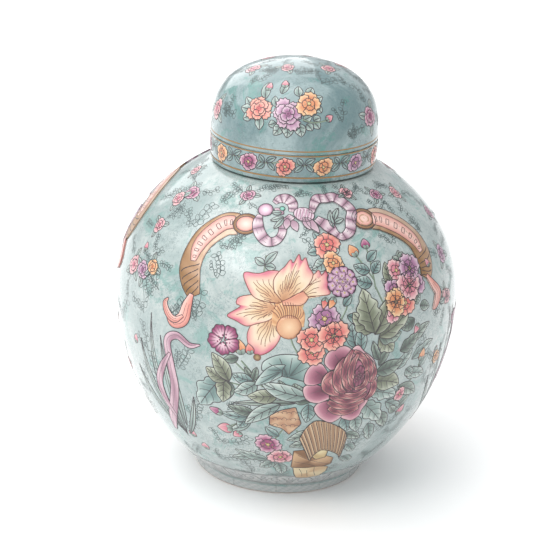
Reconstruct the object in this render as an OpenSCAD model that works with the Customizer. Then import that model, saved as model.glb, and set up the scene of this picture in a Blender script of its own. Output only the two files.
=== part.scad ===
// Ginger jar with a domed cap lid.
// The jar is one thrown piece: foot ring, full body, ledge and neck.
// The lid is a deep cap that drops over the neck and rests on the ledge.
// All sizes are in millimetres and the origin is the centre of the foot, on the table.

/* [Jar body] */
// Radius at the widest point
belly_r = 115; // [105:1:125]
// Height of the widest point
belly_z = 127; // [120:1:134]
// Height of the ledge that carries the lid
ledge_z = 216.3; // [212:0.1:222]
// Radius of the ledge at its outer edge
ledge_r = 55.5; // [54:0.5:58]
// Thickness of the wall
wall = 6; // [4:0.5:8]

/* [Curves of the body] */
// Radius of the curve just below the widest point
low_curve = 158; // [145:1:175]
// How far that curve turns before it meets the heel, in degrees
low_turn = 36; // [30:1:38]
// Radius of the curve just above the widest point
high_curve = 93; // [88:1:98]
// How far that curve turns before the shoulder, in degrees
high_turn = 44; // [38:1:48]

/* [Foot] */
// Outside radius of the foot ring
foot_r = 58.5; // [56:0.5:62]
// Height of the straight foot ring
foot_h = 6; // [4:0.5:8]
// Width of the ring that stands on the table
foot_ring = 8; // [6:0.5:11]
// Depth of the hollow inside the ring
foot_hollow = 5; // [3:0.5:6]
// Thickness of the floor
floor_t = 8; // [6:0.5:10]

/* [Neck] */
// Outside radius of the neck
neck_r = 48; // [46:0.5:48]
// Height of the neck above the ledge
neck_h = 22; // [16:1:26]
// Thickness of the neck
neck_t = 5; // [4:0.5:6]

/* [Lid] */
// Outside radius of the rim
rim_r = 54.8; // [54.2:0.1:55.5]
// Outward lean of the side at the rim, in degrees
rim_lean = 6; // [4:0.5:7]
// Radius of the curve of the side
side_curve = 160; // [150:5:200]
// Height of the side, up to where it turns in
side_h = 31; // [28:1:34]
// Radius of the rounded corner between the side and the crown
corner_curve = 36; // [30:1:38]
// Angle above level at which the corner becomes the crown, in degrees
crown_turn = 66; // [62:1:70]
// Thickness of the lid
lid_t = 5; // [4:0.5:5.5]
// Height of the turned groove above the rim
groove_h = 18; // [14:0.5:22]
// Radius of the tool that cut the groove
groove_tool = 0.8; // [0.5:0.1:1.2]
// Gap left between the rim and the ledge
rest_gap = 0.3; // [0.2:0.1:0.5]

/* [Hidden] */
$fn = 180;
fine = 0.04;                             // how far a flat may lie inside its true curve

function along(angle) = [cos(angle), sin(angle)];
// Radius of the arc that leaves p square to the given direction and passes through q
function arc_to(p, q, angle) = (q - p) * (q - p) / (2 * (p - q) * along(angle));
// Direction of q as seen from the centre c
function aim(c, q) = atan2(q[1] - c[1], q[0] - c[0]);
// Angle at which the circle with centre c and radius r reaches a height
function angle_at(c, r, z) = asin((z - c[1]) / r);
// Points along an arc, in flats that keep to the fineness, without its first point
function arc(c, r, from, to) =
    let (steps = ceil(abs(to - from) / (2 * acos(1 - fine / r))))
    [for (i = [1 : steps]) c + r * along(from + (to - from) * i / steps)];

// Each curve of the body has a centre and a radius, and hands over to the next at an angle
low_c = [belly_r - low_curve, belly_z];
low_end = low_c + low_curve * along(-low_turn);
heel_curve = arc_to(low_end, [foot_r, foot_h], -low_turn);
heel_c = low_end - heel_curve * along(-low_turn);
heel_turn = -aim(heel_c, [foot_r, foot_h]);
high_c = [belly_r - high_curve, belly_z];
high_end = high_c + high_curve * along(high_turn);
shoulder_curve = arc_to(high_end, [ledge_r, ledge_z], high_turn);
shoulder_c = high_end - shoulder_curve * along(high_turn);
shoulder_turn = aim(shoulder_c, [ledge_r, ledge_z]);
inner_floor = foot_hollow + floor_t;
neck_bore = neck_r - neck_t;
lip = neck_t / 2;
lip_z = ledge_z + neck_h - lip;

// The same for the lid, whose crown is centred on the axis
rim_z = ledge_z + rest_gap;
side_c = [rim_r, rim_z] - side_curve * along(-rim_lean);
side_turn = angle_at(side_c, side_curve, rim_z + side_h);
groove_turn = angle_at(side_c, side_curve, rim_z + groove_h);
groove_half = groove_tool / side_curve * 180 / PI;
corner_c = side_c + (side_curve - corner_curve) * along(side_turn);
crown_curve = corner_curve + corner_c[0] / cos(crown_turn);
crown_c = [0, corner_c[1] - (crown_curve - corner_curve) * sin(crown_turn)];

// Section through the jar: up the outside, round the lip and down the inside
jar_section = concat(
    [[0, foot_hollow], [foot_r - foot_ring, foot_hollow], [foot_r - foot_ring, 0]],
    [[foot_r, 0], [foot_r, foot_h]],
    arc(heel_c, heel_curve, -heel_turn, -low_turn),
    arc(low_c, low_curve, -low_turn, 0),
    arc(high_c, high_curve, 0, high_turn),
    arc(shoulder_c, shoulder_curve, high_turn, shoulder_turn),
    [[neck_r, ledge_z], [neck_r, lip_z]],
    arc([neck_r - lip, lip_z], lip, 0, 180),
    [[neck_bore, shoulder_c[1] + (shoulder_curve - wall) * sin(shoulder_turn)]],
    [shoulder_c + (shoulder_curve - wall) * along(shoulder_turn)],
    arc(shoulder_c, shoulder_curve - wall, shoulder_turn, high_turn),
    arc(high_c, high_curve - wall, high_turn, 0),
    arc(low_c, low_curve - wall, 0, -low_turn),
    arc(heel_c, heel_curve - wall, -low_turn, angle_at(heel_c, heel_curve - wall, inner_floor)),
    [[0, inner_floor]]
);

// Section through the lid: across the rim, up the outside past the groove and back inside
lid_section = concat(
    [[rim_r - lid_t, rim_z], [rim_r, rim_z]],
    arc(side_c, side_curve, -rim_lean, groove_turn - groove_half),
    arc(side_c + side_curve * along(groove_turn), groove_tool, groove_turn - 90, groove_turn - 270),
    arc(side_c, side_curve, groove_turn + groove_half, side_turn),
    arc(corner_c, corner_curve, side_turn, crown_turn),
    arc(crown_c, crown_curve, crown_turn, 90),
    [[0, crown_c[1] + crown_curve - lid_t]],
    arc(crown_c, crown_curve - lid_t, 90, crown_turn),
    arc(corner_c, corner_curve - lid_t, crown_turn, side_turn),
    arc(side_c, side_curve - lid_t, side_turn, angle_at(side_c, side_curve - lid_t, rim_z + 1))
);

module jar() {
    color("lightsteelblue") rotate_extrude() polygon(jar_section);
}

module lid() {
    color("cadetblue") rotate_extrude() polygon(lid_section);
}

jar();
lid();
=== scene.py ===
import math
import random

import bpy
import numpy as np
from mathutils import Matrix, Vector


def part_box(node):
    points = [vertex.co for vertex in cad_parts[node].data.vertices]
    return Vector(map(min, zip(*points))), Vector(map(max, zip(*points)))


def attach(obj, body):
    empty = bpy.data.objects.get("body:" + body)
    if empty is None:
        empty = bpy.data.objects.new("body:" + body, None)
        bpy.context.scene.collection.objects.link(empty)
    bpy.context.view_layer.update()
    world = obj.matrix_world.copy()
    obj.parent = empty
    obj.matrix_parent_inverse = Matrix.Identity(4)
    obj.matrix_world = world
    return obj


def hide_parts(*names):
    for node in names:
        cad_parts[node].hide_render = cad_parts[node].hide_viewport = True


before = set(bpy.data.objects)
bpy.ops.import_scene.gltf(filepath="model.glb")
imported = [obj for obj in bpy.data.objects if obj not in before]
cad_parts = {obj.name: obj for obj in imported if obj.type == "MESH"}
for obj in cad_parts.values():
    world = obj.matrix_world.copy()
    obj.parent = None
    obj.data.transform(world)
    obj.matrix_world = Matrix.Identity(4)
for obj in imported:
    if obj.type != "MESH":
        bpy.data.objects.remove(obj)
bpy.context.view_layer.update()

MM = 0.001
SEGMENTS = 192                      # steps round each turned piece
RELIEF = 0.9                        # how far the enamels may stand proud of the glaze, in mm

# Driving dimensions of the turned outlines, in millimetres
jar_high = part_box("jar")[1]
lid_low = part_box("lid")[0]
BELLY_R = jar_high[0] / MM
BELLY_Z = 127.0
LEDGE_R, LEDGE_Z = 55.5, 216.3
FOOT_R, FOOT_H, FOOT_RING, FOOT_HOLLOW = 58.5, 6.0, 8.0, 5.0
LOW_CURVE, LOW_TURN = 158.0, 36.0
HIGH_CURVE, HIGH_TURN = 93.0, 44.0
WALL, FLOOR_T = 6.0, 8.0
NECK_R, NECK_T, NECK_TOP = 48.0, 5.0, jar_high[2] / MM
RIM_R, RIM_Z, RIM_LEAN = 54.8, lid_low[2] / MM, 6.0
SIDE_CURVE, SIDE_H = 160.0, 31.0
CORNER_CURVE, CROWN_TURN = 36.0, 66.0
LID_T = 5.0
GROOVE_H, GROOVE_TOOL, GROOVE_T = 18.0, 0.8, 0.5
# How far the straight stretches of an outline may cut inside its curves
ROUND_WALL, ROUND_LINING, ROUND_CAP_LINING = 0.02, 0.06, 0.05


# ---------------------------------------------------------------- outlines

def along(angle):
    """The direction at an angle from the r axis towards the z axis."""
    return np.array([math.cos(math.radians(angle)), math.sin(math.radians(angle))])


def arc_to(p, q, angle):
    """Radius of the arc that leaves p square to a direction and passes through q."""
    q = np.array(q, float)
    return (q - p) @ (q - p) / (2 * (p - q) @ along(angle))


def angle_of(c, q):
    """The direction, in degrees, from a centre to a point."""
    return math.degrees(math.atan2(q[1] - c[1], q[0] - c[0]))


def angle_at(c, r, z):
    """Where on a circle a height is reached."""
    return math.degrees(math.asin((z - c[1]) / r))


def arc(c, r, start, end, fine=0.006):
    """Points along an arc, without its first, close enough together to look round."""
    step = 2 * math.degrees(math.acos(1 - fine / r))
    steps = max(2, math.ceil(abs(end - start) / step))
    return [c + r * along(start + (end - start) * i / steps) for i in range(1, steps + 1)]


class Body:
    """Centres, radii and hand-over angles of the curves of the jar's wall."""
    low_c = np.array([BELLY_R - LOW_CURVE, BELLY_Z])
    low_end = low_c + LOW_CURVE * along(-LOW_TURN)
    heel = arc_to(low_end, (FOOT_R, FOOT_H), -LOW_TURN)
    heel_c = low_end - heel * along(-LOW_TURN)
    heel_turn = angle_of(heel_c, (FOOT_R, FOOT_H))
    high_c = np.array([BELLY_R - HIGH_CURVE, BELLY_Z])
    high_end = high_c + HIGH_CURVE * along(HIGH_TURN)
    shoulder = arc_to(high_end, (LEDGE_R, LEDGE_Z), HIGH_TURN)
    shoulder_c = high_end - shoulder * along(HIGH_TURN)
    shoulder_turn = angle_of(shoulder_c, (LEDGE_R, LEDGE_Z))


def body_wall(inset, fine=0.006):
    """The wall from the heel up to the ledge, drawn in by an inset."""
    b = Body
    start = b.heel_c + (b.heel - inset) * along(b.heel_turn)
    return ([start]
            + arc(b.heel_c, b.heel - inset, b.heel_turn, -LOW_TURN, fine)
            + arc(b.low_c, LOW_CURVE - inset, -LOW_TURN, 0, fine)
            + arc(b.high_c, HIGH_CURVE - inset, 0, HIGH_TURN, fine)
            + arc(b.shoulder_c, b.shoulder - inset, HIGH_TURN, b.shoulder_turn, fine))


class Cap:
    """The same for the lid."""
    side_c = np.array([RIM_R, RIM_Z]) - SIDE_CURVE * along(-RIM_LEAN)
    side_turn = angle_at(side_c, SIDE_CURVE, RIM_Z + SIDE_H)
    corner_c = side_c + (SIDE_CURVE - CORNER_CURVE) * along(side_turn)
    crown = CORNER_CURVE + corner_c[0] / math.cos(math.radians(CROWN_TURN))
    crown_c = np.array([0, corner_c[1] - (crown - CORNER_CURVE) * math.sin(math.radians(CROWN_TURN))])


def cap_wall(inset, fine=0.006):
    """The lid's wall from its rim up to the middle of the crown, drawn in by an inset."""
    c = Cap
    return ([c.side_c + (SIDE_CURVE - inset) * along(-RIM_LEAN)]
            + arc(c.side_c, SIDE_CURVE - inset, -RIM_LEAN, c.side_turn, fine)
            + arc(c.corner_c, CORNER_CURVE - inset, c.side_turn, CROWN_TURN, fine)
            + arc(c.crown_c, c.crown - inset, CROWN_TURN, 90, fine))


LOWEST = 0.02                       # how far the first patch stands above the glaze
CELL_TURN, CELL_UP = 2, 3           # the cells that heights are noted in, in degrees and mm
CELLS_ROUND, CELLS_HIGH = 180, 110
LEVEL_GROUND = 0.02                 # a wall that leans less than this is taken as upright


class Skin:
    """The glazed outside of a turned piece, which the enamels are painted on.

    A place on it is an azimuth in degrees, 0 at the front and growing to the right, and a
    distance in millimetres up the wall from its lowest point. stands notes how high the
    enamels already are in each cell."""

    def __init__(self, wall):
        points = np.array(wall)
        self.up = np.concatenate([[0], np.cumsum(np.hypot(*np.diff(points, axis=0).T))])
        self.r, self.z = points.T
        slope = np.gradient(points, self.up, axis=0)
        self.slope_r, self.slope_z = slope.T
        self.stands = np.full((CELLS_ROUND, CELLS_HIGH), LOWEST)

    def radius(self, up):
        return np.interp(up, self.up, self.r)

    def lean(self, up):
        return np.interp(up, self.up, self.slope_r)

    def points(self, azimuth, up, lift):
        """Points in metres, lifted off the glaze by so many millimetres."""
        a = np.radians(azimuth)
        r = self.radius(up) + lift * np.interp(up, self.up, self.slope_z)
        z = np.interp(up, self.up, self.z) - lift * self.lean(up)
        return np.stack([r * np.sin(a), -r * np.cos(a), z], axis=-1) * MM

    def wrap(self, centre, x, y):
        """Places of flat millimetres x (right) and y (up) round a centre, as paper wraps a cone."""
        azimuth, up = centre
        r = self.radius(up)
        lean = self.lean(up)
        if abs(lean) < LEVEL_GROUND:
            return azimuth + np.degrees(x / r), up + y
        apex = r / abs(lean)
        sign = 1 if lean < 0 else -1
        reach = apex - sign * y
        around = np.arctan2(x, reach) * apex / r
        return azimuth + np.degrees(around), up + sign * (apex - np.hypot(x, reach))

    def cells(self, azimuth, up):
        """The cells that places lie in."""
        column = np.floor(azimuth / CELL_TURN).astype(int) % CELLS_ROUND
        return column, np.clip(np.floor(up / CELL_UP).astype(int), 0, CELLS_HIGH - 1)

    def way(self, start, end):
        """Flat millimetres, right and up, from one place to another."""
        r = self.radius((start[1] + end[1]) / 2)
        return np.array([math.radians(end[0] - start[0]) * r, end[1] - start[1]])


foot_wall = [np.array([FOOT_R - RELIEF, z]) for z in (0, FOOT_H)]
JAR = Skin(foot_wall + body_wall(RELIEF)[1:])
LID = Skin(cap_wall(RELIEF))


# ---------------------------------------------------------------- shader kit

DEPTH = 0.81                        # how far every colour below is darkened for the bright studio


class Socket:
    """Wraps a node's output, so that shader maths reads as plain expressions."""

    def __init__(self, kit, link):
        self.kit, self.link = kit, link

    def _math(self, operation, a, b):
        return self.kit.node("ShaderNodeMath", {"operation": operation}, {0: a, 1: b})

    def __add__(self, other):
        return self._math("ADD", self, other)

    def __radd__(self, other):
        return self._math("ADD", other, self)

    def __mul__(self, other):
        return self._math("MULTIPLY", self, other)

    def __rmul__(self, other):
        return self._math("MULTIPLY", other, self)

    def __gt__(self, other):
        return self._math("GREATER_THAN", self, other)

    def __lt__(self, other):
        return self._math("LESS_THAN", self, other)

    def ramp(self, low, high):
        """0 below low, 1 above high and a smooth step between."""
        settings = {"interpolation_type": "SMOOTHSTEP"}
        return self.kit.node("ShaderNodeMapRange", settings, {0: self, 1: low, 2: high, 3: 0, 4: 1})


class Finish:
    """One material and its nodes."""

    def __init__(self, name, **constants):
        self.material = bpy.data.materials.new(name)
        self.material.use_nodes = True
        self.tree = self.material.node_tree
        self.shader = self.tree.nodes["Principled BSDF"]
        for socket, value in constants.items():
            self.shader.inputs[socket.replace("_", " ")].default_value = value

    def node(self, kind, settings, values, output=0):
        made = self.tree.nodes.new(kind)
        for name, value in settings.items():
            setattr(made, name, value)
        for index, value in values.items():
            if isinstance(value, Socket):
                self.tree.links.new(value.link, made.inputs[index])
            else:
                made.inputs[index].default_value = value
        return Socket(self, made.outputs[output])

    def place(self):
        return self.node("ShaderNodeTexCoord", {}, {}, "Object")

    def noise(self, place, scale, detail, rough, warp=0):
        values = {"Vector": place, "Scale": scale, "Detail": detail, "Roughness": rough, "Distortion": warp}
        return self.node("ShaderNodeTexNoise", {}, values, 0)

    def mix(self, factor, a, b, blend="MIX"):
        settings = {"data_type": "RGBA", "blend_type": blend}
        return self.node("ShaderNodeMix", settings, {0: factor, 6: a, 7: b}, 2)

    def feed(self, name, value):
        self.tree.links.new(value.link, self.shader.inputs[name])

    def bump(self, height, strength, distance):
        values = {"Strength": strength, "Distance": distance, "Height": height}
        self.feed("Normal", self.node("ShaderNodeBump", {}, values))


def shade(hex_colour):
    """A linear colour from the six digits that a paint chart would give."""
    parts = [int(hex_colour[i:i + 2], 16) / 255 for i in (0, 2, 4)]
    linear = [p / 12.92 if p <= 0.04045 else ((p + 0.055) / 1.055) ** 2.4 for p in parts]
    return (*(DEPTH * value for value in linear), 1.0)


# ---------------------------------------------------------------- materials

def pale_glaze(name, pale, deep, green):
    """Glossy glaze, clouded with turquoise and scribbled over with fine grey-green marks."""
    f = Finish(name, Roughness=0.2, IOR=1.5, Coat_Weight=0.8, Coat_Roughness=0.07)
    p = f.place()
    clouds = f.noise(p, 20, 5, 0.7, 0.6).ramp(0.38, 0.62)
    patches = f.noise(p, 34, 5, 0.75, 0.6).ramp(0.52, 0.62)
    grain = f.noise(p, 260, 4, 0.8).ramp(0.35, 0.65)
    colour = f.mix(clouds, shade(pale), shade(deep))
    colour = f.mix(patches * 0.75, colour, shade(green))
    colour = f.mix(grain * 0.25, colour, shade("8b9f9d"))
    where = f.noise(p, 52, 3, 0.6).ramp(0.48, 0.56)
    marks = f.noise(p, 300, 3, 0.65, 1.2)
    thread = (marks > 0.46) * (marks < 0.505) * where
    specks = f.noise(p, 560, 2, 0.6).ramp(0.60, 0.66)
    colour = f.mix(thread * 0.42 + specks * 0.25, colour, shade("5c7374"))
    f.feed("Base Color", colour)
    f.bump(f.noise(p, 60, 2, 0.5), 0.05, 0.002)
    return f.material


def inside_glaze():
    """Clear glaze over the white clay, pooled a little greener here and there."""
    f = Finish("inside_glaze", Roughness=0.16, IOR=1.5)
    pools = f.noise(f.place(), 30, 4, 0.6)
    f.feed("Base Color", f.mix(pools.ramp(0.4, 0.7), shade("e3e9e4"), shade("d3ded9")))
    f.bump(pools, 0.05, 0.002)
    return f.material


def bare_clay():
    """Unglazed biscuit: pale, dry and faintly sandy."""
    f = Finish("bare_clay", Roughness=0.75)
    p = f.place()
    sand = f.noise(p, 700, 3, 0.7)
    f.feed("Base Color", f.mix(sand, shade("cbbfb6"), shade("e4dad2")))
    f.bump(sand, 0.25, 0.0003)
    return f.material


def enamel(name, **constants):
    """Enamel in the colours that the painter laid down, held in each piece's own paint layer."""
    f = Finish(name, IOR=1.5, **constants)
    paint = f.node("ShaderNodeAttribute", {"attribute_name": "paint"}, {}, "Color")
    streak = f.noise(f.place(), 260, 3, 0.6).ramp(0.35, 0.75)
    f.feed("Base Color", f.mix(streak * 0.22, paint, shade("f4ece4"), "SOFT_LIGHT"))
    return f.material


def line_paint(name, colour, **constants):
    """The enamel of drawn lines, which are too fine to show a grain."""
    return Finish(name, Base_Color=shade(colour), **constants).material


# ---------------------------------------------------------------- enamelling kit

STEP = 0.022                        # a patch lies this much above the ones that it covers, in mm
TOP_LEVEL = RELIEF - 0.1            # no patch stands higher
UNDER = 0.3                         # how far a patch goes down into the glaze
INK = 0.55                          # width of an outline
SKETCH = 0.4                        # width of a sketched line
BEAD = 0.012                        # height of a drawn line
BEDDED = 0.003                      # how far its two feet go down into what it is drawn on
DASH = 1.1                          # its longest straight stretch


def tint(share, *tones):
    """Colours at a share of the way through a row of tones."""
    row = np.array([shade(tone)[:3] for tone in tones])
    stops = np.linspace(0, 1, len(row))
    return np.stack([np.interp(share, stops, channel) for channel in row.T], axis=-1)


def spline(points, steps=12):
    """A smooth path through points, with the same number of steps in each span."""
    p = np.array(points, float)
    p = np.vstack([2 * p[0] - p[1], p, 2 * p[-1] - p[-2]])
    t = np.linspace(0, 1, steps, endpoint=False)[:, None]
    spans = []
    for a, b, c, d in zip(p, p[1:], p[2:], p[3:]):
        spans.append(b + (c - a) * t / 2 + (2 * a - 5 * b + 4 * c - d) * t ** 2 / 2
                     + (3 * b - a - 3 * c + d) * t ** 3 / 2)
    return np.vstack(spans + [p[-2:-1]])


def swelling(t, u, ring):
    """How far a patch has swollen, from 0 at its edge to 1 at its middle."""
    return 1 - t ** 2 if ring else (1 - u ** 2) * (1 - (2 * t - 1) ** 4)


class Shell:
    """A mesh that is built up patch by patch."""

    def __init__(self):
        self.points, self.faces, self.paint, self.count = [], [], [], 0

    def add(self, points, faces, paint=None):
        self.points.append(points)
        self.faces.extend([[i + self.count for i in face] for face in faces])
        if paint is not None:
            self.paint.append(paint)
        self.count += len(points)

    def piece(self, name, material, slot, body):
        mesh = bpy.data.meshes.new(name)
        mesh.from_pydata(np.vstack(self.points).tolist(), [], self.faces)
        if self.paint:
            layer = mesh.attributes.new("paint", "FLOAT_COLOR", "POINT")
            rgb = np.vstack(self.paint)
            rgba = np.hstack([rgb, np.ones((len(rgb), 1))]).astype(np.float32)
            layer.data.foreach_set("color", rgba.ravel())
            mesh.shade_smooth()
        mesh.materials.append(material)
        made = bpy.data.objects.new(name, mesh)
        bpy.context.scene.collection.objects.link(made)
        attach(made, body)


class Enamel:
    """One enamelled motif: patches of colour laid over each other, and the lines drawn on them.

    turned is the azimuth that the whole motif is moved round by."""

    def __init__(self, skin, turned=0.0):
        self.skin, self.turned = skin, turned
        self.level = self.rise = 0.0
        self.colour, self.lines = Shell(), Shell()

    def lay(self, form, paint, rows, cols, line=INK, rise=0.0):
        """A form as one closed patch over what is there, domed a little, with a line round it."""
        ring = form.ring
        t = np.linspace(0.0, 1.0, rows)[:, None]
        u = np.linspace(-1.0, 1.0, cols + ring)[None, :cols]
        azimuth, up = (np.broadcast_to(a, (rows, cols)) for a in form.at(t, u))
        cells = self.skin.cells(azimuth + self.turned, up)
        self.level, self.rise = min(self.skin.stands[cells].max(), TOP_LEVEL - rise), rise
        self.skin.stands[cells] = self.level + rise + STEP
        rgb = np.broadcast_to(paint(t, u), (rows, cols, 3))
        dome = np.broadcast_to(swelling(t, u, ring), (rows, cols))
        index = np.arange(rows * cols).reshape(rows, cols)
        rim = index[-1] if ring else np.concatenate(
            [index[0], index[1:, -1], index[-1, -2::-1], index[-2:0:-1, 0]])
        x, y = azimuth.flat[rim], up.flat[rim]
        if np.sum(x * np.roll(y, -1) - np.roll(x, -1) * y) < 0:
            azimuth, up, dome, rgb = azimuth[:, ::-1], up[:, ::-1], dome[:, ::-1], rgb[:, ::-1]
        if ring:
            after = np.roll(index, -1, axis=1)
            quads = np.stack([index[:-1], index[1:], after[1:], after[:-1]], axis=-1)
        else:
            quads = np.stack([index[:-1, :-1], index[:-1, 1:], index[1:, 1:], index[1:, :-1]], axis=-1)
        x, y = azimuth.flat[rim], up.flat[rim]
        top = self.skin.points(azimuth + self.turned, up, self.level + rise * dome).reshape(-1, 3)
        below = self.skin.points(x + self.turned, y, -UNDER)
        under = rows * cols + np.arange(len(rim))
        skirt = np.stack([under, np.roll(under, -1), np.roll(rim, -1), rim], axis=-1)
        faces = quads.reshape(-1, 4).tolist() + skirt.tolist() + [under[::-1].tolist()]
        if ring:
            faces.append(index[0].tolist())
        rgb = rgb.reshape(-1, 3)
        self.colour.add(np.vstack([top, below]), faces, np.vstack([rgb, rgb[rim]]))
        if line:
            self.draw(x, y, line, closed=True, lift=self.level)

    def draw(self, azimuth, up, width=INK, closed=False, lift=None):
        """A line of enamel along places, as a low three-sided bead on whatever is there."""
        azimuth, up = np.asarray(azimuth, float), np.asarray(up, float)
        if closed:
            rounds = round((azimuth[-1] - azimuth[0]) / 360)
            azimuth = np.append(azimuth, azimuth[0] + 360 * rounds)
            up = np.append(up, up[0])
        if lift is None:
            lift = self.skin.stands[self.skin.cells(azimuth + self.turned, up)].max() - STEP
        right = np.radians(np.diff(azimuth)) * np.maximum(self.skin.radius(up[1:]), 1)
        far = np.concatenate([[0], np.cumsum(np.hypot(right, np.diff(up)))])
        count = max(math.ceil(far[-1] / DASH), 8)
        at = np.linspace(0, far[-1], count + 1)[:count + 1 - closed]
        lift = np.interp(at, far, np.broadcast_to(lift, azimuth.shape))
        azimuth, up = np.interp(at, far, azimuth), np.interp(at, far, up)
        r = np.maximum(self.skin.radius(up), 1)
        if closed:
            d_az = (np.roll(azimuth, -1) - np.roll(azimuth, 1) + 180) % 360 - 180
            d_up = np.roll(up, -1) - np.roll(up, 1)
        else:
            d_az, d_up = np.gradient(azimuth), np.gradient(up)
        right = np.radians(d_az) * r
        length = np.hypot(right, d_up) + 1e-9
        out_az = np.degrees(-d_up / length * width / 2 / r)
        out_up = right / length * width / 2
        rows = [self.skin.points(azimuth + self.turned + s * out_az, up + s * out_up, lift + high)
                for s, high in ((1, -BEDDED), (0, BEAD), (-1, -BEDDED))]
        n = len(up)
        here = np.arange(n if closed else n - 1)
        there = (here + 1) % n
        faces = []
        for a, b in ((0, 1), (1, 2), (2, 0)):
            faces += np.stack([a * n + here, b * n + here, b * n + there, a * n + there], axis=-1).tolist()
        if not closed:
            faces += [[0, 2 * n, n], [n - 1, 2 * n - 1, 3 * n - 1]]
        self.lines.add(np.vstack(rows), faces)

    def rule(self, form, t, u, width=0.4):
        """A line drawn on the form that was laid last."""
        t, u = np.asarray(t, float), np.asarray(u, float)
        azimuth, up = form.at(t, u)
        self.draw(azimuth, up, width, lift=self.level + self.rise * swelling(t, u, form.ring))

    def pieces(self, name, line_material, slot="painted_enamel", body="jar"):
        """Makes the patches one piece and the lines another."""
        if self.colour.count:
            self.colour.piece(name, paints[slot], slot, body)
        if self.lines.count:
            self.lines.piece(name + "_lines", line_material, slot, body)


class Blade:
    """A leaf or petal that grows from a base to a tip and bends to one side."""

    ring = False

    def __init__(self, skin, base, tip, width, shape, bend=0.0):
        self.skin, self.base, self.width, self.shape = skin, base, width, shape
        self.end = skin.way(base, tip)
        self.mid = self.end / 2 + bend * np.array([-self.end[1], self.end[0]])

    def at(self, t, u):
        """Places t of the way to the tip and u of the half width to the right."""
        x, y = (2 * t * (1 - t) * self.mid[i] + t * t * self.end[i] for i in (0, 1))
        dx, dy = ((1 - 2 * t) * self.mid[i] + t * self.end[i] for i in (0, 1))
        half = (self.shape(t) * self.width / 2 + 0.04) * u / np.hypot(dx, dy)
        return self.skin.wrap(self.base, x + half * dy, y - half * dx)


class Fan:
    """A broad petal that opens round its base, with a ruffled edge."""

    ring = False

    def __init__(self, skin, base, aim, reach, spread, ruffle, waves):
        self.skin, self.base, self.aim, self.reach, self.spread = skin, base, aim, reach, spread
        self.ruffle, self.waves = ruffle, waves

    def at(self, t, u):
        edge = 1 - 0.2 * u * u + self.ruffle * np.cos(math.pi * self.waves * u)
        out = self.reach * (0.03 + 0.97 * t) * edge
        angle = np.radians(self.aim - u * self.spread)
        return self.skin.wrap(self.base, out * np.cos(angle), out * np.sin(angle))


class Sail:
    """A shape spread from a root to an edge of its own, which may go right round it.

    soft edges are smooth curves through their places, and the others straight between them."""

    def __init__(self, skin, root, edge, ring=False, soft=True, start=0.03):
        self.skin, self.root, self.ring, self.start = skin, root, ring, start
        self.edge = spline(edge, 8) if soft else np.array(edge, float)
        self.stops = np.linspace(-1, 1, len(self.edge))

    def at(self, t, u):
        azimuth, up = (np.interp(u, self.stops, column) for column in self.edge.T)
        reach = self.start + (1 - self.start) * t
        return self.root[0] + (azimuth - self.root[0]) * reach, self.root[1] + (up - self.root[1]) * reach


class Disc:
    """A ball, bud or heart: an oval, turned, with a lobed edge."""

    ring = True

    def __init__(self, skin, centre, width, height=None, turn=0.0, lobes=0, depth=0.0):
        self.skin, self.centre, self.turn = skin, centre, math.radians(turn)
        self.width, self.height = width, height or width
        self.lobes, self.depth = lobes, depth

    def at(self, t, u):
        angle = math.pi * u
        out = (0.04 + 0.96 * t) * (1 + self.depth * np.cos(self.lobes * angle)) / 2
        x, y = out * self.width * np.cos(angle), out * self.height * np.sin(angle)
        c, s = math.cos(self.turn), math.sin(self.turn)
        return self.skin.wrap(self.centre, c * x - s * y, s * x + c * y)


class Band:
    """A ribbon along a path of places (azimuth, up, width)."""

    ring = False

    def __init__(self, skin, path):
        self.skin = skin
        self.path = spline(path)
        self.stops = np.linspace(0, 1, len(self.path))

    def at(self, t, u):
        azimuth, up, width = (np.interp(t, self.stops, column) for column in self.path.T)
        r = np.maximum(self.skin.radius(up), 1)
        d = 0.01
        ahead, behind = np.minimum(t + d, 1), np.maximum(t - d, 0)
        right = np.radians(np.interp(ahead, self.stops, self.path[:, 0])
                           - np.interp(behind, self.stops, self.path[:, 0])) * r
        rise = np.interp(ahead, self.stops, self.path[:, 1]) - np.interp(behind, self.stops, self.path[:, 1])
        half = width / 2 * u / (np.hypot(right, rise) + 1e-9)
        return azimuth + np.degrees(half * rise / r), up - half * right


def leaf_shape(t):
    """How wide a leaf is, from its base, 0, to its tip, 1."""
    return np.sin(math.pi * t ** 0.85) ** 0.9


def drop_shape(t):
    """The same for a bud, which is widest near its base."""
    return np.sin(math.pi * t ** 0.7) ** 0.8


def lobed(count, depth=0.3):
    """A leaf shape cut into lobes."""
    return lambda t: leaf_shape(t) * (1 - depth + depth * np.abs(np.sin(math.pi * count * t)))


# ---------------------------------------------------------------- motifs

GREEN = ("44524a", "84948a", "ccd6cd")
PALE = ("566a65", "94a7a1", "d3ddd6")
OLIVE = ("454a3e", "848a75", "ced3c0")
DARK = ("37423c", "67766c", "b2c0b4")
TEAL = ("48605f", "7d9794", "c3d2cc")
PINK = ("a8506a", "d68795", "f5d6d2")
CORAL = ("a5404a", "dc7570", "f6c3ae")
ORANGE = ("b0603f", "e0946a", "f6d6aa")
MAGENTA = ("70284a", "a3507a", "eccbd4")
PURPLE = ("6e3f5c", "a87397", "e6ccd8")
PLUM = ("502536", "8a4a62", "bf8092")
RIBBON = ("7c5468", "b490a1", "e8d8dc")


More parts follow.
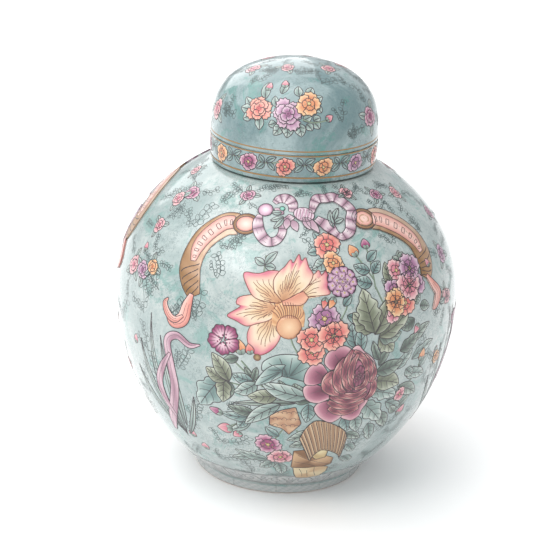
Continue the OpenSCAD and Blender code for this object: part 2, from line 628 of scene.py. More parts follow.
def leaf(e, base, tip, width, tones, bend=0.12, lobes=0, veins=4):
    """A leaf with a dark midrib and veins, paler to the edge."""
    form = Blade(e.skin, base, tip, width, lobed(lobes) if lobes else leaf_shape, bend)

    def paint(t, u):
        ribs = 0.5 + 0.5 * np.cos(2 * math.pi * (veins * t - 0.9 * np.abs(u)))
        return tint(0.08 + 0.6 * t + 0.42 * np.abs(u) ** 1.5 + 0.14 * ribs - 0.12 * (u < 0), *tones)

    e.lay(form, paint, rows=14 + 4 * lobes, cols=9)
    e.rule(form, np.linspace(0.02, 0.93, 12), np.zeros(12), 0.6)
    if width > 6:
        for k in range(1, veins):
            start = k / (veins + 0.5)
            for side in (-0.78, 0.78):
                e.rule(form, np.linspace(start, start + 0.17, 4), np.linspace(0, side, 4), 0.42)


def petal(e, base, tip, width, tones, shape=leaf_shape, streaks=3, line=INK):
    """A petal, deep at its root and pale at its rim, with streaks along it."""
    def paint(t, u):
        streak = 0.5 + 0.5 * np.cos(2 * math.pi * streaks * u)
        return tint(0.75 * t ** 0.8 + 0.2 * streak * (1 - t) + 0.15 * np.abs(u), *tones)

    e.lay(Blade(e.skin, base, tip, width, shape), paint, rows=10, cols=9, line=line)


def ball(e, centre, width, tones, height=None, turn=0.0, line=INK, lobes=0, depth=0.0):
    """A round bud or heart, lit at its middle."""
    e.lay(Disc(e.skin, centre, width, height, turn, lobes, depth),
          lambda t, u: tint(1 - t, *tones), rows=4, cols=16 + 2 * lobes, line=line)


def stem(e, points, width=1.1):
    """A stem through places, a little darker on one side."""
    path = [(azimuth, up, width) for azimuth, up in points]
    e.lay(Band(e.skin, path), lambda t, u: tint(0.5 + 0.5 * u, "5f6d5f", "93a58f"),
          rows=8 * len(points), cols=3, line=0)


def beside(skin, centre, angle, distance):
    """The place so many millimetres from a centre, at an angle from the right."""
    a = math.radians(angle)
    azimuth, up = skin.wrap(centre, distance * math.cos(a), distance * math.sin(a))
    return float(azimuth), float(up)


def glow(t, u):
    """Deep at the root and paler to the rim, with streaks."""
    return np.interp(t, (0, 0.3, 0.65, 1), (0.0, 0.38, 0.6, 0.95)) + 0.1 * np.cos(11 * u) * t


def whorl(e, centre, radius, count, tones, turn, start=0.1, spread=1.5, ruffle=0.08):
    """One ring of broad, ruffled petals, no two quite alike."""
    for k in range(count):
        aim = turn + 360 * k / count
        base = beside(e.skin, centre, aim, start * radius)
        aim += 9 * math.sin(3.1 * k + turn)
        reach = radius * (1 - start) * (1 + 0.14 * math.cos(2.4 * k + turn))
        form = Fan(e.skin, base, aim, reach, 180 / count * spread, ruffle, 4)
        e.lay(form, lambda t, u: tint(glow(t, u), *tones), rows=7, cols=15)


def dots(e, centre, radius, count, size, tones):
    """Stamens, as dots in a spiral."""
    for k in range(count):
        place = beside(e.skin, centre, 137 * k, radius * math.sqrt((k + 0.5) / count))
        e.lay(Disc(e.skin, place, size), lambda t, u: tint(1 - t, *tones), rows=2, cols=7, line=0)


def blossom(e, centre, radius, tones, turn):
    """An open flower: a whorl, a smaller one in it and a dotted heart."""
    whorl(e, centre, radius, 5, tones, turn)
    if radius > 6:
        whorl(e, centre, 0.52 * radius, 4, (tones[0], tones[1], tones[1]), turn + 33, 0.0, 1.2)
    ball(e, centre, 0.34 * radius, ("8a6a3a", "ecd9a0"), line=0.35, lobes=5, depth=0.12)
    if radius > 5:
        dots(e, centre, 0.4 * radius, 6, 0.11 * radius, ("8a5a3c", "f3e2b8"))


def anemone(e, centre, radius, tones):
    """A round flower with dark-rimmed petals and a pale, dotted middle."""
    for k in range(5):
        aim = 72 * k + 50
        reach = (0.92 - 0.05 * (k % 2)) * radius
        form = Fan(e.skin, beside(e.skin, centre, aim, 0.1 * radius), aim, reach, 44, 0.05, 3)
        e.lay(form, lambda t, u: tint(t ** 2.2 + 0.14 * np.cos(13 * u) * t, *tones[::-1]), rows=9, cols=15)
        for u in (-0.5, 0.0, 0.5):
            e.rule(form, np.linspace(0.45, 0.85, 5), np.full(5, u), 0.3)
    dots(e, centre, 0.42 * radius, 14, 0.11 * radius, (tones[0], tones[1]))


def rose(e, centre, radius, tones, turn=90.0):
    """A full flower: three whorls round a dark heart."""
    whorl(e, centre, radius, 6, tones, turn, 0.1, 1.2)
    whorl(e, centre, 0.74 * radius, 5, tones, turn + 25, 0.05, 1.2, 0.06)
    whorl(e, centre, 0.48 * radius, 4, tones, turn - 20, 0.0, 1.1, 0.06)
    ball(e, centre, 0.32 * radius, (tones[1], tones[0]), line=0.3)


def bud(e, base, tip, width, tones):
    """A closed bud in its green cup."""
    petal(e, base, tip, width, tones, shape=drop_shape, streaks=2)
    skin = e.skin
    way = skin.way(base, tip)
    aim = math.degrees(math.atan2(way[1], way[0]))
    size = 0.45 * float(np.hypot(*way))
    for side in (-32, 32):
        petal(e, base, beside(skin, base, aim + side, size), 0.4 * width, GREEN, line=0.3)


def twig(e, foot, aim, size, dice):
    """A quick sketch of a leafy twig, in line only."""
    there = np.linspace(0, 1, 7)
    outline = np.concatenate([there, there[-2::-1]]), np.repeat([1.0, -1.0], [7, 6])
    places = [foot]
    for _ in range(5):
        aim += dice.uniform(-22, 22)
        places.append(beside(e.skin, places[-1], aim, size / 5))
        for side in (-1, 1):
            if dice.random() < 0.85:
                turn = aim + side * dice.uniform(35, 75)
                tip = beside(e.skin, places[-1], turn, size * dice.uniform(0.16, 0.30))
                width = 0.32 * size * dice.uniform(0.4, 0.7)
                form = Blade(e.skin, places[-1], tip, width, leaf_shape, 0.1 * side)
                e.draw(*form.at(*outline), SKETCH, lift=0)
    e.draw(*spline(places, 4).T, SKETCH, lift=0)


def two_twigs(e, foot, aim, size, spread, dice):
    """A twig and a smaller one from the same foot."""
    twig(e, foot, aim, size, dice)
    twig(e, foot, aim + spread, 0.7 * size, dice)


def hoop(e, up, width):
    """A line right round the piece."""
    e.draw(np.linspace(-180, 180, 181)[:-1], np.full(180, up), width, closed=True)


def scroll_arm(e, gold, path, beads, boss):
    """One curved arm of the garland: a gilt edge, a beaded pink band, a boss and a swirled end."""
    def paint(t, u):
        return tint(0.6 * t + 0.3 * u + 0.12 + 0.1 * np.cos(40 * t + 3 * u), "d8bba6", "b58f6e", "8d683f")

    edge = Band(gold.skin, path)
    gold.lay(edge, paint, rows=40, cols=11, rise=0.12)
    for k in range(5):
        t = 0.62 + 0.36 * k / 5
        gold.rule(edge, np.linspace(t, t + 0.09, 7), 0.8 * np.sin(np.linspace(-1.6, 1.6, 7)), 0.7)
    inner = Band(e.skin, beads)
    e.lay(inner, lambda t, u: tint(np.abs(u), "f3cdc2", "ecb7ab", "cf9085"), rows=30, cols=7, line=0.4)
    for k in range(8):
        t = 0.08 + 0.84 * k / 7
        e.rule(inner, t + 0.022 * np.array((-1, 1, 1, -1, -1)), 0.4 * np.array((-1, -1, 1, 1, -1)), 0.5)
    ball(gold, boss, 17, ("9c7557", "d1ab8b"), 15)
    ball(e, boss, 13, ("d99187", "f3c0b2", "f8d9cd"), 11)


def tassel(e, points, width):
    """A curled coral tassel at the end of an arm."""
    shares = (0.35, 0.8, 1.0, 0.75, 0.2)
    form = Band(e.skin, [(*point, width * share) for point, share in zip(points, shares)])
    e.lay(form, lambda t, u: tint(0.5 + 0.4 * u, "c9776c", "eca79a", "f6cfc4"), rows=24, cols=7)
    for u in (-0.35, 0.25):
        e.rule(form, np.linspace(0.2, 0.9, 8), np.full(8, u), 0.3)


def ribbon(e, path, puffs):
    """A gathered ribbon: pale puffs with mauve creases between them."""
    form = Band(e.skin, path)

    def paint(t, u):
        puff = np.abs(np.cos(math.pi * puffs * t))
        return tint(0.15 + 0.7 * puff + 0.15 * u, *RIBBON)

    e.lay(form, paint, rows=12 * puffs, cols=7)
    for k in range(puffs):
        t = (k + 0.5) / puffs
        e.rule(form, np.full(5, t), np.linspace(-0.9, 0.9, 5), 0.45)
        for u in (-0.4, 0.35):
            e.rule(form, np.linspace(t + 0.1 / puffs, t + 0.5 / puffs, 4), np.full(4, u), 0.22)


# Ribbons of the bow: path, as azimuth, height and width, and the number of puffs
BOW_RIBBONS = (
    (((-8.5, 240, 3.3), (-6, 243.5, 6.6), (-2, 244, 7.7), (1, 240, 6.6), (1, 234, 4.4)), 5),
    (((-14, 230, 3.3), (-14, 224, 6.6), (-12, 217, 7.1), (-8.5, 212, 6.6), (-5, 213, 5.5), (-3, 218, 4.9),
     (-2.5, 225, 5.5), (1, 231, 4.4)), 7),
    (((10, 233, 3.3), (12, 240, 5.5), (14.5, 244, 7.1), (19, 244, 6.6), (24, 244.5, 7.1),
     (28.5, 239, 7.1), (30.5, 233, 6.6), (28, 226, 7.1), (26, 219, 6.6), (22, 215.5, 4.9),
     (19.5, 218, 4.4), (17, 223, 7.7), (12, 229, 4.4)), 13),
)
# Its loose ends, as base, tip and width, and the leaves in its loops
BOW_ENDS = (
    ((7, 230), (13, 219), 5), ((6, 230), (9, 221), 4.5), ((1, 228), (3.5, 220), 5),
    ((-1, 229), (-1.5, 221), 4.5), ((-3, 232), (-8, 236), 4.5),
)
BOW_LEAVES = (
    ((19, 222), (19.5, 235)), ((20, 227), (24, 236)), ((20, 225), (25, 228)), ((-3, 230), (-9, 227)),
    ((-3, 229), (-7, 221)), ((-4, 233), (-9, 233)),
)

def bow(e):
    """The mauve ribbon bow that joins the two arms of a garland."""
    for path, puffs in BOW_RIBBONS:
        ribbon(e, path, puffs)
    ball(e, (-12, 234), 9.5, ("b0809a", "dcb9cb", "f1e4ea"), 9.5)
    for base, tip, width in BOW_ENDS:
        petal(e, base, tip, width, RIBBON)
    ball(e, (-4, 236), 3.4, ("3f8f7f", "8fd0bd"))
    knot = Disc(e.skin, (6.5, 232), 13, 10, -15)
    e.lay(knot, lambda t, u: tint(0.5 + 0.5 * np.cos(7 * math.pi * t * np.cos(math.pi * u)),
                                  "a97690", "ecd7e0"), rows=14, cols=28)
    steps = np.arange(-3, 4)
    for k in range(-2, 3):
        e.draw(*e.skin.wrap(knot.centre, 2.2 * k + 0.12 * steps, 1.2 * steps), 0.34)
    for base, tip in BOW_LEAVES:
        leaf(e, base, tip, 3.4, PALE, veins=3)


# Petals of the lily: root, edge
LILY_PETALS = (
    ((-3.5, 169), ((-8, 168), (-10, 161), (-11.5, 153), (-10.5, 144), (-8, 140), (-5, 142), (-2.5, 147),
     (-1, 154), (-1, 163), (-2, 168))),
    ((-3, 171), ((-4, 175), (-9, 178), (-15, 175.5), (-16, 171), (-14.5, 169.5), (-18.5, 163),
     (-15.5, 160.5), (-12, 158), (-9, 160), (-5, 163), (-3, 167))),
    ((-2, 174), ((-5, 174), (-10, 176), (-13, 182), (-15, 190.5), (-10, 191), (-6, 193.5), (-2, 193),
     (0, 187), (0.5, 179))),
    ((0, 175), ((3, 184), (5, 190), (9, 192), (11, 195), (12, 191.5), (13.5, 194.5), (14.5, 189),
     (14, 184.5), (14.5, 180), (10, 179), (6, 178.5), (3, 176))),
    ((-1, 175), ((-4, 181), (-4.5, 188), (-2.5, 194), (-1, 196.5), (1, 201.5), (2, 199), (4, 205),
     (5, 200.5), (6.5, 203), (7.5, 197), (9, 192), (7, 185), (3, 179))),
)


def lily(e):
    """The large lily: five broad petals, a ribbed cup and a rolled lip."""
    blush = ("b87c58", "dcae88", "ecd0ac", "f1dcc2", "eebfae", "e08f98", "c9587a")

    def paint(t, u):
        share = 0.04 + 0.46 * t + 0.5 * t ** 3 * (1 - u * u) ** 1.2 - 0.05 * np.cos(17 * u) * t
        return tint(share, *blush)

    ball(e, (-2, 174), 30, ("efcf9e", "dca274"), 26, line=0)
    for root, edge in LILY_PETALS:
        form = Sail(e.skin, root, edge)
        e.lay(form, paint, rows=20, cols=41)
        for k in range(-6, 7):
            t = np.linspace(0.2 + 0.1 * (k % 2), 0.8 - 0.05 * abs(k), 8)
            e.rule(form, t, 0.14 * k + 0.03 * np.sin(np.arange(8)), 0.42)
    ball(e, (-8, 138.5), 4.5, ("6a5238", "b5966a"))
    rim = ((-4, 160), (-4, 167), (-2.5, 173), (1, 175), (4.5, 173.5), (6.2, 168), (6, 160))
    cup = Sail(e.skin, (1.4, 158), rim)
    e.lay(cup, lambda t, u: tint(0.5 + 0.4 * np.cos(26 * u) * t, "d09468", "ecbf92"),
          rows=12, cols=37, line=0)
    ball(e, (1.4, 159.5), 15.5, ("d79b76", "e8b992", "f2d0ab"), 15, line=0.35)
    for k in range(-6, 7):
        bend = 0.08 * k * k
        rib = ((1.4 + 0.55 * k, 165), (1.4 + 0.7 * k, 170 - bend), (0.6 + 0.85 * k, 175 - 2 * bend))
        e.draw(*spline(rib, 4).T, 0.45)
    lip = Band(e.skin, [(-1, 174, 2.5), (2, 175.5, 5), (4.5, 177, 7.5), (6.5, 180, 5)])
    e.lay(lip, lambda t, u: tint(0.5 + 0.5 * u, "d58a74", "f3bda0"), rows=16, cols=7)


# Smooth petals of the peony: root, edge
PEONY_PETALS = (
    ((25, 122), ((20, 138), (22, 145), (24, 146.5), (26, 142), (29, 137), (31, 130), (30.5, 124))),
    ((25, 119), ((30, 127), (32, 121), (32, 115), (30, 110), (27, 108))),
    ((24, 108), ((30, 110), (30, 104), (28.5, 98), (28, 93), (25.5, 90), (23, 91.5), (21, 94),
     (20.5, 100))),
    ((19, 109), ((21.5, 100), (21, 94), (18, 90), (15, 92.5), (12.5, 97), (11, 103), (12.5, 108))),
    ((19, 132), ((21.5, 136), (22, 143), (19.5, 147), (16, 146.5), (13.5, 142), (13, 136), (15, 131))),
    ((15, 118), ((16, 110), (12, 107), (8.5, 109.5), (7, 115), (7.2, 120), (10, 122))),
    ((15, 124), ((10, 120.5), (7.2, 122), (7.2, 129), (9, 135), (12, 136), (14, 131))),
)
# Folded petals inside them: paths, as azimuth, height and width
PEONY_FOLDS = (
    ((16, 103, 3), (19, 99.5, 5), (23, 98.5, 5.5), (27, 101, 3)),
    ((15.5, 108, 3), (19, 104, 5), (24, 103, 5), (28.5, 106, 3)),
    ((29, 106, 2), (31, 111, 4.5), (31, 117, 4.5), (30, 123, 3)),
    ((16, 112, 3), (20, 108, 5), (24.5, 107.5, 5), (29, 111, 3)),
    ((29.5, 119, 3), (30.5, 125, 4), (29, 132, 4), (26.5, 138, 2)),
    ((26, 140, 2), (28, 134, 4), (29, 128, 4), (28.5, 121, 2)),
    ((22.5, 143, 2), (24.5, 140, 4), (26.5, 135, 4), (27.5, 128, 3)),
    ((18, 113, 3), (21, 111.5, 4.5), (25, 111, 4.5), (28.5, 115, 3)),
    ((17.5, 130, 2), (15, 127, 6), (14.5, 120, 7.5), (16.5, 115, 5), (19, 112.5, 2)),
    ((19.5, 139, 2), (18, 133, 5), (17.5, 125, 6), (18.5, 118, 5), (21, 113.5, 2)),
    ((22, 144, 2), (20.5, 137, 4.5), (20, 128, 5), (21, 120, 4.5), (23, 115, 2)),
    ((24, 141, 2), (22.5, 135, 4), (22, 127, 4.5), (23, 120, 4), (25, 116, 2)),
    ((24, 116, 2), (27, 117.5, 3.5), (28, 122, 3.5), (27.5, 128, 2)),
)


def peony(e):
    """The large plum peony: smooth petals behind, folded ones inside and ruffles round a dark heart."""
    def smooth_paint(t, u):
        share = np.interp(t, (0, 0.45, 0.75, 1), (0, 0.28, 0.58, 1))
        return tint(share - 0.06 * np.cos(4 * u), *PLUM, "e2bcc0")

    def fold_paint(t, u):
        share = 0.3 + 0.5 * np.abs(u) ** 1.5 + 0.22 * np.cos(13 * t + k)
        return tint(share, "5a2a3c", "94505f", "c0807f", "e8c4bc")

    for root, edge in PEONY_PETALS:
        form = Sail(e.skin, root, edge)
        e.lay(form, smooth_paint, rows=14, cols=25)
        e.rule(form, np.linspace(0.35, 0.7, 6), np.full(6, 0.1), 0.3)
    e.lay(Disc(e.skin, (23, 119), 30, 36, 8), lambda t, u: tint(0.25 + 0.5 * t + 0.2 * np.cos(19 * u), *PLUM),
          rows=6, cols=40)
    for k, path in enumerate(PEONY_FOLDS):
        form = Band(e.skin, path)
        e.lay(form, fold_paint, rows=24, cols=9)
        for side in (-0.4, 0.4):
            e.rule(form, np.linspace(0.08, 0.92, 24), side + 0.3 * np.sin(np.linspace(0, 14 + k, 24)), 0.4)
    heart = Disc(e.skin, (25, 125), 7, 15, -6, 7, 0.08)
    e.lay(heart, lambda t, u: tint(0.1 + 0.4 * t + 0.2 * np.cos(23 * u), *PLUM), rows=6, cols=30)
    for k in range(10):
        place = beside(e.skin, heart.centre, 137 * k, 0.6 + 0.36 * k)
        ball(e, place, 2.0, ("44202f", "a8707f"), turn=50 * k, height=1.3, line=0.26)


def paper(gold, root, edge, waves, tones, cols=48):
    """A flat gilt paper with straight edges. waves say how its light runs: from where, how
    deep, and how fast round the edge and out from the root."""
    start, depth, in_u, in_t = waves
    form = Sail(gold.skin, root, (*edge, edge[0]), ring=True, soft=False)
    gold.lay(form, lambda t, u: tint(start + depth * np.cos(in_u * u + in_t * t), *tones), rows=10, cols=cols)


def wrapping(gold):
    """The gilt things under the bouquet: a scaled basket, a ribbed fan and a folded paper."""
    edge = ((-3.5, 96), (0, 101), (5, 104), (6, 98), (7.5, 90), (5.5, 85), (3.5, 80), (1, 85.5), (-3.5, 88))
    basket = Sail(gold.skin, (2, 92), (*edge, edge[0]), ring=True, soft=False)
    gold.lay(basket, lambda t, u: tint(0.6 + 0.35 * np.cos(12 * u + 5 * t) * t, "93695a", "be9478", "dcbc9c"),
             rows=10, cols=48)
    x = np.linspace(-1, 1, 7)
    for k in range(7):
        for row in range(3):
            foot = (1.5 * k - 3, 87 + 5.5 * row + 0.9 * (k % 2))
            gold.draw(*gold.skin.wrap(foot, 1.6 * x, 1.6 * np.sqrt(1 - 0.95 * x * x)), 0.34)
    edge = ((6, 63), (10, 64), (14, 60), (20, 56), (24, 52), (24.5, 44), (20, 39), (12, 41), (6, 42), (6, 52))
    paper(gold, (14, 50), edge, (0.4, 0.5, 5, 2), ("8f6b50", "b58e6e", "d8b48e"))
    edge = ((7, 42), (13, 41), (19, 42), (24, 40), (24.5, 33), (22.5, 26), (16, 24), (10, 25), (8, 33))
    paper(gold, (15, 33), edge, (0.65, 0.3, 7, 0), ("bb9472", "dcbb93", "efdcb6"))
    creases = (((8, 58), (13, 52), (19, 47), (23, 44)), ((7, 50), (12, 47), (17, 43)),
               ((10, 40), (12, 33), (13, 27)), ((17, 41), (18, 34), (20, 27)), ((14, 37), (15, 31), (16, 26)))
    for crease in creases:
        gold.draw(*spline(crease, 6).T, 0.4)
    edge = ((9, 74), (13, 77), (17, 70), (20, 62), (20, 54), (16, 52), (13, 58), (10, 64))
    paper(gold, (15, 62), edge, (0.6, 0.35, 5, 3), ("b99a6c", "d9c193", "eedfb4"), cols=40)
    edge = ((7.5, 76), (9, 85), (12, 92), (16, 91), (20, 87), (24, 81), (26, 74))
    fan = Sail(gold.skin, (30, -20), edge, start=0.74)
    gold.lay(fan, lambda t, u: tint(0.5 + 0.42 * np.cos(40 * u), "907058", "bb997c", "dcc2a2"),
             rows=14, cols=75)
    for k in range(-6, 7):
        gold.rule(fan, np.linspace(0.04, 0.97, 12), np.full(12, 0.15 * k), 0.5)


def hydrangea(e, centre, radius, tones):
    """A round head of small four-petalled florets."""
    ball(e, centre, 2 * radius, (tones[0], tones[1]), lobes=9, depth=0.06)
    for ring, count in ((0.72, 9), (0.38, 5), (0.0, 1)):
        for k in range(count):
            place = beside(e.skin, centre, 360 * k / count + 50 * ring, ring * radius)
            ball(e, place, 0.58 * radius, (tones[1], tones[2]), lobes=4, depth=0.22, turn=40 * k, line=0.28)
            ball(e, place, 0.14 * radius, ("8f6a3e", "efdca0"), line=0)


def spray(e, sketch, centre, radius, tones, dice):
    """A small rose with three leaves, and twigs sketched round it."""
    aim = dice.uniform(0, 360)
    for k in range(3):
        turn = aim + 120 * k + dice.uniform(-20, 20)
        leaf(e, beside(e.skin, centre, turn, 0.6 * radius), beside(e.skin, centre, turn, 1.9 * radius),
             0.7 * radius, PALE, veins=3)
        twig(sketch, beside(e.skin, centre, turn + 50, 1.1 * radius), turn + 50, 2.2 * radius, dice)
    whorl(e, centre, radius, 5, tones, aim, ruffle=0.07)
    whorl(e, centre, 0.6 * radius, 4, tones, aim + 40, 0.0)
    ball(e, centre, 0.4 * radius, (tones[1], tones[0]), line=0.25)


# ---------------------------------------------------------------- turned pieces

SPECK = 1e-4                        # size of the plane that an outline is started from, in metres
MERGE = 2e-6                        # points nearer than this are one, in metres
SHARP = 50                          # an edge that turns by more stays crisp, in degrees
GLAZED, LINED, BARE = 0, 1, 2       # the materials of each turned piece


def turned(name, outline):
    """Draws an outline point by point and spins it round the axis."""
    bpy.ops.object.select_all(action="DESELECT")
    bpy.ops.mesh.primitive_plane_add(size=SPECK, location=(0, 0, 0))
    made = bpy.context.object
    made.name = made.data.name = name
    bpy.ops.object.mode_set(mode="EDIT")
    bpy.ops.mesh.merge(type="CENTER")
    start = Vector((outline[0][0], 0, outline[0][1])) * MM
    bpy.ops.transform.translate(value=start)
    for (r0, z0), (r1, z1) in zip(outline, outline[1:]):
        move = ((r1 - r0) * MM, 0, (z1 - z0) * MM)
        bpy.ops.mesh.extrude_region_move(TRANSFORM_OT_translate={"value": move})
    bpy.ops.mesh.select_all(action="SELECT")
    bpy.ops.mesh.spin(steps=SEGMENTS, angle=math.tau, center=(0, 0, 0), axis=(0, 0, 1))
    bpy.ops.mesh.select_all(action="SELECT")
    bpy.ops.mesh.remove_doubles(threshold=MERGE)
    bpy.ops.mesh.dissolve_degenerate(threshold=1e-7)
    bpy.ops.mesh.select_all(action="SELECT")
    bpy.ops.mesh.normals_make_consistent(inside=False)
    bpy.ops.object.mode_set(mode="OBJECT")
    bpy.ops.object.transform_apply(location=True, rotation=True, scale=True)
    bpy.ops.object.shade_smooth_by_angle(angle=math.radians(SHARP))
    return made


def dress(piece, materials, choose):
    """Gives each face the material that choose picks by its place and by how it faces."""
    for material in materials:
        piece.data.materials.append(material)
    for face in piece.data.polygons:
        x, y, z = face.center
        r = math.hypot(x, y)
        outward = (face.normal.x * x + face.normal.y * y) / max(r, 1e-9)
        face.material_index = choose(r / MM, z / MM, outward, face.normal.z)


def inner_wall(curves, thickness, fine):
    """The inside of a wall, from its curves: centre, radius, start and end."""
    inside = []
    for centre, r, start, end in curves:
        inside += arc(centre, r - thickness, start, end, fine)
    return inside


def jar_outline():
    """Foot ring, wall, ledge, neck and the inside, back to the axis."""
    b = Body
    ring_in, foot_out, neck_in = FOOT_R - FOOT_RING, FOOT_R - RELIEF, NECK_R - NECK_T
    foot = [(0, FOOT_HOLLOW), (ring_in - 1, FOOT_HOLLOW), (ring_in, FOOT_HOLLOW - 1), (ring_in + 0.4, 0.6),
            (ring_in + 1.2, 0), (foot_out - 1.6, 0), (foot_out - 0.4, 0.5), (foot_out, 1.6),
            (foot_out, FOOT_H)]
    wall = [p for p in body_wall(RELIEF, ROUND_WALL) if p[1] > FOOT_H and p[0] > NECK_R + 0.6]
    ledge_z = wall[-1][1] - 0.1
    neck = [(NECK_R + 1.2, ledge_z), (NECK_R + 0.3, ledge_z + 0.5), (NECK_R, ledge_z + 1.6),
            (NECK_R, NECK_TOP - 1.4), (NECK_R - 0.5, NECK_TOP - 0.4), (NECK_R - 1.5, NECK_TOP),
            (neck_in + 1.5, NECK_TOP), (neck_in + 0.5, NECK_TOP - 0.4), (neck_in, NECK_TOP - 1.4)]
    curves = ((b.shoulder_c, b.shoulder, b.shoulder_turn, HIGH_TURN), (b.high_c, HIGH_CURVE, HIGH_TURN, 0),
              (b.low_c, LOW_CURVE, 0, -LOW_TURN), (b.heel_c, b.heel, -LOW_TURN, b.heel_turn))
    floor_z = FOOT_HOLLOW + FLOOR_T
    inside = [p for p in inner_wall(curves, WALL, ROUND_LINING) if p[1] > floor_z + 1.5 and p[0] > neck_in]
    low = [(inside[-1][0] - 4, floor_z + 0.4), (inside[-1][0] - 9, floor_z), (0, floor_z)]
    return foot + wall + neck + [(neck_in, inside[0][1] + 1)] + inside + low


def lid_outline():
    """From the crown down the inside, round the rim and up the outside, with its turned groove."""
    c = Cap
    outside = cap_wall(RELIEF, ROUND_WALL)
    groove_z = RIM_Z + GROOVE_H
    groove_r = np.interp(groove_z, *np.array(outside[:40])[:, ::-1].T)
    groove = [(groove_r - deep, groove_z + up * GROOVE_TOOL)
              for deep, up in ((0, -0.8), (GROOVE_T, -0.4), (GROOVE_T, 0.4), (0, 0.8))]
    low = [p for p in outside if RIM_Z + 1.2 < p[1] < groove_z - GROOVE_TOOL]
    high = [p for p in outside if p[1] > groove_z + GROOVE_TOOL]
    high[-1] = (0, high[-1][1])
    curves = ((c.side_c, SIDE_CURVE, -RIM_LEAN, c.side_turn),
              (c.corner_c, CORNER_CURVE, c.side_turn, CROWN_TURN), (c.crown_c, c.crown, CROWN_TURN, 90))
    inside = [p for p in inner_wall(curves, LID_T, ROUND_CAP_LINING) if p[1] > RIM_Z + 1.5]
    inside[-1] = (0, inside[-1][1])
    rim_out = outside[0][0]
    rim_in = rim_out - LID_T
    rim = [(rim_in + 1.6, RIM_Z + 0.9), (rim_in + 2.0, RIM_Z + 0.2), (rim_in + 2.6, RIM_Z),
           (rim_out - 1.2, RIM_Z), (rim_out - 0.3, RIM_Z + 0.4)]
    return inside[::-1] + rim + low + groove + high


def jar_finish(r, z, outward, up):
    """Bare clay under the foot and on the lip, the clear glaze inside, and the pale glaze elsewhere."""
    under_foot = z < 1.2 and r > FOOT_R - FOOT_RING
    on_lip = z > NECK_TOP - 1 and up > 0.5
    in_recess = r < FOOT_R - FOOT_RING and z < FOOT_HOLLOW + 1
    on_ledge = up > 0.3 and z > 180
    within = (z > FOOT_HOLLOW + 1 and outward < 0.2 and up > -0.9 and r < BELLY_R - WALL + 0.5
              and not on_ledge)
    if under_foot or on_lip:
        return BARE
    return LINED if in_recess or within else GLAZED


def lid_finish(r, z, outward, up):
    """The same for the lid, whose rim is bare."""
    if z < RIM_Z + 1:
        return BARE
    return LINED if outward < -0.05 or up < -0.5 else GLAZED


glaze = pale_glaze("pale_glaze", "bfc8c5", "9fafad", "7ba69f")
lid_glaze = pale_glaze("lid_glaze", "a0b3b4", "6b878a", "4a8a82")
lining = inside_glaze()
clay = bare_clay()
paints = {
    "painted_enamel": enamel("enamel", Roughness=0.24, Coat_Weight=0.25, Coat_Roughness=0.06),
    "gilding": enamel("gilding", Roughness=0.36, Metallic=0.3),
}
ink = line_paint("drawn_line", "40383d", Roughness=0.35, IOR=1.5)
grey_ink = line_paint("sketched_line", "4a5857", Roughness=0.35, IOR=1.5)
brown_ink = line_paint("brown_line", "7d4f42", Roughness=0.35, IOR=1.5)
gold_line = line_paint("gold_line", "a57f52", Roughness=0.34, Metallic=0.55)

jar = turned("jar_body", jar_outline())
dress(jar, (glaze, lining, clay), jar_finish)
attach(jar, "jar")
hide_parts("jar")

lid = turned("lid_body", lid_outline())
dress(lid, (lid_glaze, lining, clay), lid_finish)
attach(lid, "lid")
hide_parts("lid")


# ---------------------------------------------------------------- the painted scene

